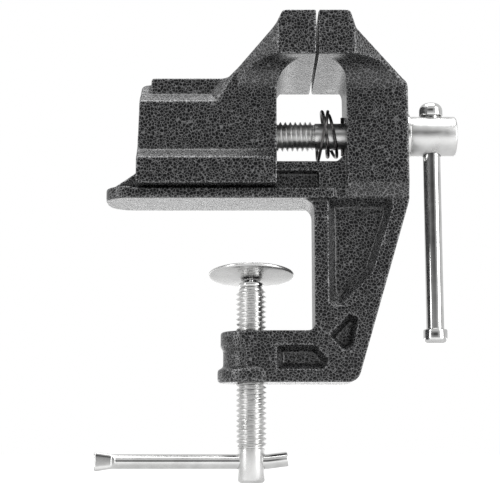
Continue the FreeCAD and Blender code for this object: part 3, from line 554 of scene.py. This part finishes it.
def drilled(piece, centre, axis, radius, length):
    """Drill a round hole through a piece, by taking a cylinder away from it."""
    drill = bmesh.new()
    half = length / 2
    add_rings(drill, [(-half, radius), (half, radius)])
    mesh = finished_mesh(drill, "drill")
    turned = Vector((1, 0, 0)).rotation_difference(axis).to_matrix().to_4x4()
    mesh.transform(Matrix.Translation(centre) @ turned)
    tool = bpy.data.objects.new("drill", mesh)
    scene.collection.objects.link(tool)
    hole = piece.modifiers.new("hole", "BOOLEAN")
    hole.operation = "DIFFERENCE"
    hole.solver = "EXACT"
    hole.object = tool
    depsgraph = bpy.context.evaluated_depsgraph_get()
    final = bpy.data.meshes.new_from_object(piece.evaluated_get(depsgraph))
    piece.modifiers.clear()
    old, piece.data = piece.data, final
    bpy.data.meshes.remove(old)
    final.set_sharp_from_angle(angle=SHARP_EDGE)
    bpy.data.objects.remove(tool)


screw_low, screw_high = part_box("main_screw")
screw_axis = (screw_low.z + screw_high.z) / 2
HEAD_RADIUS = (screw_high.z - screw_low.z) / 2
SHANK_RADIUS = 5.4 * MM
THREAD_START = screw_low.x + 1.3 * MM
THREAD_END = 25.4 * MM
HEAD_START = 64.3 * MM
HEAD_ROUND = 0.9 * MM

main_screw = bmesh.new()
root = THREAD_RADIUS - THREAD_DEPTH
add_rings(main_screw, [(screw_low.x, root - 0.9 * MM), (screw_low.x + 0.6 * MM, root - 0.1 * MM),
                       (THREAD_START, root)], closed_end=False)
add_thread(main_screw, THREAD_START, THREAD_END)
head_end = screw_high.x
add_rings(main_screw, [
    (THREAD_END, root), (THREAD_END + 0.5 * MM, SHANK_RADIUS), (HEAD_START - 0.1 * MM, SHANK_RADIUS),
    (HEAD_START, HEAD_RADIUS - 0.4 * MM), (HEAD_START + 0.1 * MM, HEAD_RADIUS - 0.15 * MM),
    (HEAD_START + 0.4 * MM, HEAD_RADIUS), (head_end - HEAD_ROUND, HEAD_RADIUS),
    (head_end - 0.5 * HEAD_ROUND, HEAD_RADIUS - 0.13 * HEAD_ROUND),
    (head_end - 0.13 * HEAD_ROUND, HEAD_RADIUS - 0.5 * HEAD_ROUND),
    (head_end, HEAD_RADIUS - HEAD_ROUND), (head_end, 0.5 * HEAD_RADIUS)], closed_start=False)
screw_place = Matrix.Translation((0, 0, screw_axis))
bar_low, bar_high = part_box("main_bar")
bar_axis = (bar_low.x + bar_high.x) / 2
BAR_RADIUS = (bar_high.x - bar_low.x) / 2
main_screw_piece = place_piece("main_screw_threaded", finished_mesh(main_screw, "main_screw_threaded"),
                               "screw", screw_plating_x, ["main_screw"], screw_place)
drilled(main_screw_piece, Vector((bar_axis, 0, screw_axis)), Vector((0, 0, 1)), BAR_RADIUS + 0.2 * MM,
        4 * HEAD_RADIUS)


# ======== Washer ====================================================================================
# A turned steel washer, loose on the shank between the fixed jaw and the screw's head. Its edges are
# broken and it is plated bright.

def broken_edges(start, end, inner, outer, bevel):
    """Profile of a ring with small bevels on all four of its edges."""
    return [(start, inner + bevel), (start, outer - bevel), (start + 0.3 * bevel, outer - 0.3 * bevel),
            (start + bevel, outer), (end - bevel, outer), (end - 0.3 * bevel, outer - 0.3 * bevel),
            (end, outer - bevel), (end, inner + bevel), (end - bevel, inner), (start + bevel, inner)]


washer_low, washer_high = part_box("head_washer")
washer = bmesh.new()
add_rings(washer, broken_edges(washer_low.x, washer_high.x, SHANK_RADIUS + 0.35 * MM,
                               (washer_high.z - washer_low.z) / 2, 0.25 * MM), loop=True)
place_piece("head_washer_turned", finished_mesh(washer, "head_washer_turned"), "screw", bright_plating_x,
            ["head_washer"], screw_place)


# ======== Retaining pin =============================================================================
# A short hard pin pressed across the shank against the window's wall. Its ends are domed and it is
# black from the furnace.

def sprung_steel(name):
    """Blackened spring steel: oily, with slightly worn, paler patches."""
    material, tree, shader = new_material(name)
    marks = tree.nodes.new("ShaderNodeGroup")
    marks.node_tree = TURNING
    marks.inputs["Stretch"].default_value = (900.0, 900.0, 900.0)
    wear = tree.nodes.new("ShaderNodeValToRGB")
    wear.color_ramp.elements[0].position = 0.42
    wear.color_ramp.elements[1].position = 0.72
    wear.color_ramp.elements[0].color = (0.030, 0.029, 0.030, 1)
    wear.color_ramp.elements[1].color = (0.300, 0.290, 0.285, 1)
    dullness = tree.nodes.new("ShaderNodeMapRange")
    dullness.inputs["To Min"].default_value = 0.18
    dullness.inputs["To Max"].default_value = 0.38
    relief = tree.nodes.new("ShaderNodeBump")
    relief.inputs["Strength"].default_value = 0.3
    relief.inputs["Distance"].default_value = 0.02 * MM
    shader.inputs["Metallic"].default_value = 0.9
    tree.links.new(marks.outputs["Polish"], wear.inputs["Fac"])
    tree.links.new(wear.outputs["Color"], shader.inputs["Base Color"])
    tree.links.new(marks.outputs["Polish"], dullness.inputs["Value"])
    tree.links.new(dullness.outputs["Result"], shader.inputs["Roughness"])
    tree.links.new(marks.outputs["Rings"], relief.inputs["Height"])
    tree.links.new(relief.outputs["Normal"], shader.inputs["Normal"])
    return material


def domed_rod(start, end, radius, dome):
    """Profile of a rod whose two ends are rounded off over the dome's height."""
    steps = [math.radians(angle) for angle in (8, 30, 52, 72, 90)]
    rise = [(dome * (1 - math.sin(angle)), radius - dome + dome * math.cos(math.pi / 2 - angle))
            for angle in steps]
    return ([(start + along, across) for along, across in rise]
            + [(end - along, across) for along, across in reversed(rise)])


blackened = sprung_steel("blackened_steel")
UPRIGHT = Matrix.Rotation(-math.pi / 2, 4, "Y")
pin_low, pin_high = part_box("retaining_pin")
pin = bmesh.new()
add_rings(pin, domed_rod(pin_low.z, pin_high.z, (pin_high.x - pin_low.x) / 2, 0.5 * MM))
place_piece("retaining_pin_domed", finished_mesh(pin, "retaining_pin_domed"), "screw", blackened,
            ["retaining_pin"],
            Matrix.Translation(((pin_low.x + pin_high.x) / 2, 0, 0)) @ UPRIGHT)


# ======== Spring ====================================================================================
# A loose coil of black spring wire on the shank, which takes up the slack between the jaws. Slack, its
# turns lean: they bunch at the top and splay at the bottom.

WIRE_RADIUS = 0.65 * MM
WIRE_SIDES = 14
STEPS_PER_HALF_TURN = 30
# for each half turn from the bottom: how far along the screw the wire is, and how far from its axis
COIL_KEYS = ((27.2, 10.0), (31.2, 10.3), (31.2, 8.3), (28.7, 10.3), (34.7, 8.3), (31.3, 9.0))


def eased(keys, place):
    """Smooth value between evenly spaced keys."""
    index = min(int(place), len(keys) - 2)
    share = (1 - math.cos(math.pi * (place - index))) / 2
    return keys[index] + (keys[index + 1] - keys[index]) * share


half_turns = len(COIL_KEYS) - 1
lead_in = 0.55
path = []
for step in range(int(-lead_in * STEPS_PER_HALF_TURN), int((half_turns + 0.02) * STEPS_PER_HALF_TURN) + 1):
    place = step / STEPS_PER_HALF_TURN
    along = eased([key[0] for key in COIL_KEYS], min(max(place, 0), half_turns)) * MM
    away = eased([key[1] for key in COIL_KEYS], min(max(place, 0), half_turns)) * MM
    angle = math.pi * place
    path.append(Vector((along, -away * math.sin(angle), screw_axis - away * math.cos(angle))))


def tube(points, radius, sides):
    """A round wire along a path, with rounded ends, in a bmesh."""
    shape = bmesh.new()
    rings = []
    across = Vector((1, 0, 0))
    last = len(points) - 1
    for index, point in enumerate(points):
        ahead = (points[min(index + 1, last)] - points[max(index - 1, 0)]).normalized()
        across = (across - ahead * across.dot(ahead)).normalized()
        other = ahead.cross(across)
        thickness = radius * (0.6 if index in (0, last) else 1.0)
        rings.append([shape.verts.new(point + (across * math.cos(2 * math.pi * side / sides)
                                               + other * math.sin(2 * math.pi * side / sides)) * thickness)
                      for side in range(sides)])
    for first, second in zip(rings, rings[1:]):
        for side in range(sides):
            after = (side + 1) % sides
            shape.faces.new((first[side], first[after], second[after], second[side]))
    shape.faces.new(list(reversed(rings[0])))
    shape.faces.new(rings[-1])
    return shape


place_piece("slack_spring_coiled", finished_mesh(tube(path, WIRE_RADIUS, WIRE_SIDES), "slack_spring_coiled"),
            "screw", blackened, ["slack_spring"])


# ======== Main bar and knobs ========================================================================
# A drawn steel rod, ground and nickel plated, slides through the screw's head. A drum-shaped knob is
# pressed on each end and polished.

polished_z = plated_metal("polished_z", ALONG_Z, NICKEL, (0.07, 0.15), 0.004 * MM)
SHOULDER_TOP, SHOULDER_FOOT = 36.2 * MM, -50.7 * MM
SPIGOT_RADIUS = 2.2 * MM

bar_place = Matrix.Translation((bar_axis, 0, 0)) @ UPRIGHT
main_bar = bmesh.new()
add_rings(main_bar, [
    (bar_low.z, SPIGOT_RADIUS - 0.2 * MM), (bar_low.z + 0.2 * MM, SPIGOT_RADIUS),
    (SHOULDER_FOOT, SPIGOT_RADIUS), (SHOULDER_FOOT, BAR_RADIUS - 0.25 * MM),
    (SHOULDER_FOOT + 0.25 * MM, BAR_RADIUS), (SHOULDER_TOP - 0.25 * MM, BAR_RADIUS),
    (SHOULDER_TOP, BAR_RADIUS - 0.25 * MM), (SHOULDER_TOP, SPIGOT_RADIUS),
    (bar_high.z - 0.2 * MM, SPIGOT_RADIUS), (bar_high.z, SPIGOT_RADIUS - 0.2 * MM)])
place_piece("main_bar_ground", finished_mesh(main_bar, "main_bar_ground"), "bar", polished_z,
            ["main_bar"], bar_place)


def knob(name, node, inner_end, outer_end, crown):
    """Drum closed at its outer end, whose crown is well rounded, and bored for the rod's spigot."""
    low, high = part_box(node)
    radius = min(high.x - low.x, high.y - low.y) / 2
    way = 1 if outer_end > inner_end else -1
    bore = SPIGOT_RADIUS + 0.04 * MM
    bore_end = inner_end + way * 4.1 * MM
    profile = [(bore_end, 0.3 * MM), (bore_end, bore), (inner_end, bore), (inner_end, radius - 0.45 * MM),
               (inner_end + way * 0.15 * MM, radius - 0.15 * MM), (inner_end + way * 0.45 * MM, radius)]
    for angle in range(0, 91, 10):
        turned = math.radians(angle)
        profile.append((outer_end - way * crown * (1 - math.sin(turned)),
                        radius - crown * (1 - math.cos(turned))))
    profile.append((outer_end, 0.3 * MM))
    drum = bmesh.new()
    add_rings(drum, profile)
    place_piece(name, finished_mesh(drum, name), "bar", polished_z, [node], bar_place)


upper_low, upper_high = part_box("main_bar_upper_knob")
lower_low, lower_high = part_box("main_bar_lower_knob")
knob("upper_knob_polished", "main_bar_upper_knob", upper_low.z, upper_high.z, 3.2 * MM)
knob("lower_knob_polished", "main_bar_lower_knob", lower_high.z, lower_low.z, 2.2 * MM)


# ======== Clamp screw ===============================================================================
# The same rolled thread as the main screw, standing upright in the frame's boss. Its plain foot is
# drilled across for the thin bar.

screw_plating_z = plated_metal("screw_plating_z", ALONG_Z, NICKEL, (0.22, 0.38), 0.015 * MM)
CLAMP_SHOULDER, CLAMP_THREAD_END = -34.1 * MM, -97.3 * MM
clamp_low, clamp_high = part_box("clamp_screw")
PIVOT_RADIUS = 1.9 * MM
clamp_screw = bmesh.new()
foot = clamp_low.z
add_rings(clamp_screw, [
    (foot, 0.4 * SHANK_RADIUS), (foot, SHANK_RADIUS - 1.2 * MM), (foot + 0.2 * MM, SHANK_RADIUS - 0.7 * MM),
    (foot + 0.7 * MM, SHANK_RADIUS - 0.2 * MM), (foot + 1.3 * MM, SHANK_RADIUS),
    (CLAMP_THREAD_END - 0.5 * MM, SHANK_RADIUS), (CLAMP_THREAD_END, root)], closed_end=False)
add_thread(clamp_screw, CLAMP_THREAD_END, CLAMP_SHOULDER - 0.8 * MM)
add_rings(clamp_screw, [
    (CLAMP_SHOULDER - 0.8 * MM, root), (CLAMP_SHOULDER, root - 0.5 * MM), (CLAMP_SHOULDER, PIVOT_RADIUS),
    (clamp_high.z - 0.2 * MM, PIVOT_RADIUS), (clamp_high.z, PIVOT_RADIUS - 0.2 * MM)], closed_start=False)
clamp_screw_piece = place_piece("clamp_screw_threaded", finished_mesh(clamp_screw, "clamp_screw_threaded"),
                                "clamp", screw_plating_z, ["clamp_screw"], UPRIGHT)
CLAMP_BAR_HEIGHT, CLAMP_BAR_RADIUS = -102.6 * MM, 2.85 * MM
drilled(clamp_screw_piece, Vector((0, 0, CLAMP_BAR_HEIGHT)), Vector((1, 0, 0)), CLAMP_BAR_RADIUS + 0.15 * MM,
        4 * SHANK_RADIUS)


# ======== Collar and swivel pad =====================================================================
# A turned collar with a ball on top is pressed on the screw. The pad is a pressed steel dish, closed
# round the ball so that it tips to suit the bench, and plated bright like the rest.

COLLAR_FOOT, COLLAR_TOP = -34.04 * MM, -31.9 * MM
BALL_HEIGHT, BALL_RADIUS, NECK_RADIUS = -29.9 * MM, 1.4 * MM, 1.0 * MM
SOCKET_FOOT = -32.38 * MM
COLLAR_RADIUS = 5.0 * MM
polished_pad = plated_metal("polished_pad", (60.0, 60.0, 60.0), NICKEL, (0.20, 0.36), 0.01 * MM)

collar_profile = [(SOCKET_FOOT, 0.2 * MM), (SOCKET_FOOT, PIVOT_RADIUS + 0.05 * MM),
                  (COLLAR_FOOT, PIVOT_RADIUS + 0.05 * MM)]
bead = (COLLAR_TOP - COLLAR_FOOT) / 2
for angle in range(-90, 91, 15):
    turned = math.radians(angle)
    collar_profile.append((COLLAR_FOOT + bead + bead * math.sin(turned),
                           COLLAR_RADIUS - bead + bead * math.cos(turned)))
collar_profile.append((COLLAR_TOP, NECK_RADIUS))
neck_angle = math.asin(NECK_RADIUS / BALL_RADIUS)
for step in range(0, 13):
    turned = neck_angle + (math.pi - neck_angle) * step / 12
    collar_profile.append((BALL_HEIGHT - BALL_RADIUS * math.cos(turned),
                           max(BALL_RADIUS * math.sin(turned), 0.05 * MM)))
collar = bmesh.new()
add_rings(collar, collar_profile)
place_piece("pad_collar_turned", finished_mesh(collar, "pad_collar_turned"), "pad_carrier", polished_z,
            ["pad_collar"], UPRIGHT)

# the dish, measured from the ball's centre: outside first, then the socket
PAD_TILT = math.radians(-8.1)
dish_profile = [(1.65, 0.1), (1.65, 4.6), (1.50, 5.4), (0.95, 6.8), (0.72, 7.6), (0.74, 9.0), (1.00, 13.4),
                (1.15, 14.6), (1.40, 15.1), (1.58, 15.6), (1.64, 16.1), (1.60, 16.6), (1.45, 16.9),
                (1.2, 17.05), (0.9, 17.1), (0.55, 17.0), (0.32, 16.8), (0.18, 16.4), (0.05, 15.9),
                (-0.08, 15.2), (-0.33, 12.8), (-0.62, 9.8), (-0.88, 7.2), (-1.04, 5.6), (-1.12, 4.7),
                (-1.18, 4.2), (-1.2, 3.8), (-1.2, 2.2)]
dish_profile = [(along * MM, across * MM) for along, across in dish_profile]
socket_radius = BALL_RADIUS + 0.05 * MM
SOCKET_MOUTH = math.radians(118)
for step in range(0, 11):
    turned = SOCKET_MOUTH * (1 - step / 10)
    dish_profile.append((socket_radius * math.cos(turned), max(socket_radius * math.sin(turned), 0.05 * MM)))
dish = bmesh.new()
add_rings(dish, dish_profile)
pad_place = Matrix.Translation((0, 0, BALL_HEIGHT)) @ Matrix.Rotation(PAD_TILT, 4, "X") @ UPRIGHT
place_piece("swivel_pad_pressed", finished_mesh(dish, "swivel_pad_pressed", crease=math.radians(50)), "pad",
            polished_pad, ["swivel_pad"], pad_place)


# ======== Clamp bar =================================================================================
# A thin plated rod pushed through the clamp screw's foot. One end is bent up a little and the other
# is hammered flat, so that it can't fall out.

polished_x = plated_metal("polished_x", ALONG_X, NICKEL, (0.08, 0.17), 0.004 * MM)
clamp_bar_low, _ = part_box("clamp_bar")
STUB_ANGLE = math.radians(8)
BEND = 7.0 * MM
STUB = 7.5 * MM
PADDLE_START = clamp_bar_low.x + 6.6 * MM
BAR_SIDES = 48


def section_at(along):
    """Half height and half thickness of the bar, which widens and thins into the hammered end."""
    flat = min(max((PADDLE_START + 2.2 * MM - along) / (2.4 * MM), 0), 1)
    flat = flat * flat * (3 - 2 * flat)
    near_end = min(max((along - clamp_bar_low.x) / (0.9 * MM), 0), 1)
    corner = 1 - (1 - near_end) ** 2
    spread = min(max((PADDLE_START + 1.6 * MM - along) / (7.6 * MM), 0), 1)
    half_height = CLAMP_BAR_RADIUS * (1 - 0.10 * flat) + (3.75 * MM - 0.90 * CLAMP_BAR_RADIUS) * spread
    half_thickness = CLAMP_BAR_RADIUS + (1.38 * MM - CLAMP_BAR_RADIUS) * flat
    return half_height * (0.90 + 0.10 * corner), half_thickness * (0.72 + 0.28 * corner), flat


stations = [clamp_bar_low.x + 0.12 * MM * step for step in range(0, 80)]
stations += [stations[-1] + (BEND - 1.5 * MM - stations[-1]) * step / 40 for step in range(1, 41)]
clamp_bar = bmesh.new()
bar_rings = []
for along in stations:
    half_height, half_thickness, flat = section_at(along)
    squareness = 1 - 0.55 * flat
    ring = []
    for turn in range(BAR_SIDES):
        angle = 2 * math.pi * turn / BAR_SIDES
        across = math.copysign(abs(math.cos(angle)) ** squareness, math.cos(angle))
        up = math.copysign(abs(math.sin(angle)) ** squareness, math.sin(angle))
        ring.append(clamp_bar.verts.new((along, half_thickness * across,
                                         CLAMP_BAR_HEIGHT + half_height * up)))
    bar_rings.append(ring)
bend_radius = 12.0 * MM
for step in range(1, 9):
    leaning = STUB_ANGLE * step / 8
    centre = Vector((stations[-1] + bend_radius * math.sin(leaning), 0,
                     CLAMP_BAR_HEIGHT + bend_radius * (1 - math.cos(leaning))))
    up = Vector((-math.sin(leaning), 0, math.cos(leaning)))
    bar_rings.append([clamp_bar.verts.new(
        centre + (Vector((0, 1, 0)) * math.cos(2 * math.pi * turn / BAR_SIDES)
                  + up * math.sin(2 * math.pi * turn / BAR_SIDES)) * CLAMP_BAR_RADIUS)
        for turn in range(BAR_SIDES)])
ahead = Vector((math.cos(STUB_ANGLE), 0, math.sin(STUB_ANGLE)))
tip = Vector((BEND, 0, CLAMP_BAR_HEIGHT)) + ahead * (STUB - 0.05 * MM)
for back, radius in ((0.4, 1.0), (0.12, 0.95), (0.0, 0.86), (0.0, 0.4)):
    centre = tip - ahead * back * MM
    bar_rings.append([clamp_bar.verts.new(
        centre + (Vector((0, 1, 0)) * math.cos(2 * math.pi * turn / BAR_SIDES)
                  + up * math.sin(2 * math.pi * turn / BAR_SIDES)) * CLAMP_BAR_RADIUS * radius)
        for turn in range(BAR_SIDES)])
for first, second in zip(bar_rings, bar_rings[1:]):
    for turn in range(BAR_SIDES):
        after = (turn + 1) % BAR_SIDES
        clamp_bar.faces.new((first[turn], first[after], second[after], second[turn]))
clamp_bar.faces.new(list(reversed(bar_rings[0])))
clamp_bar.faces.new(bar_rings[-1])
place_piece("clamp_bar_hammered", finished_mesh(clamp_bar, "clamp_bar_hammered"), "clamp_handle", polished_x,
            ["clamp_bar"])
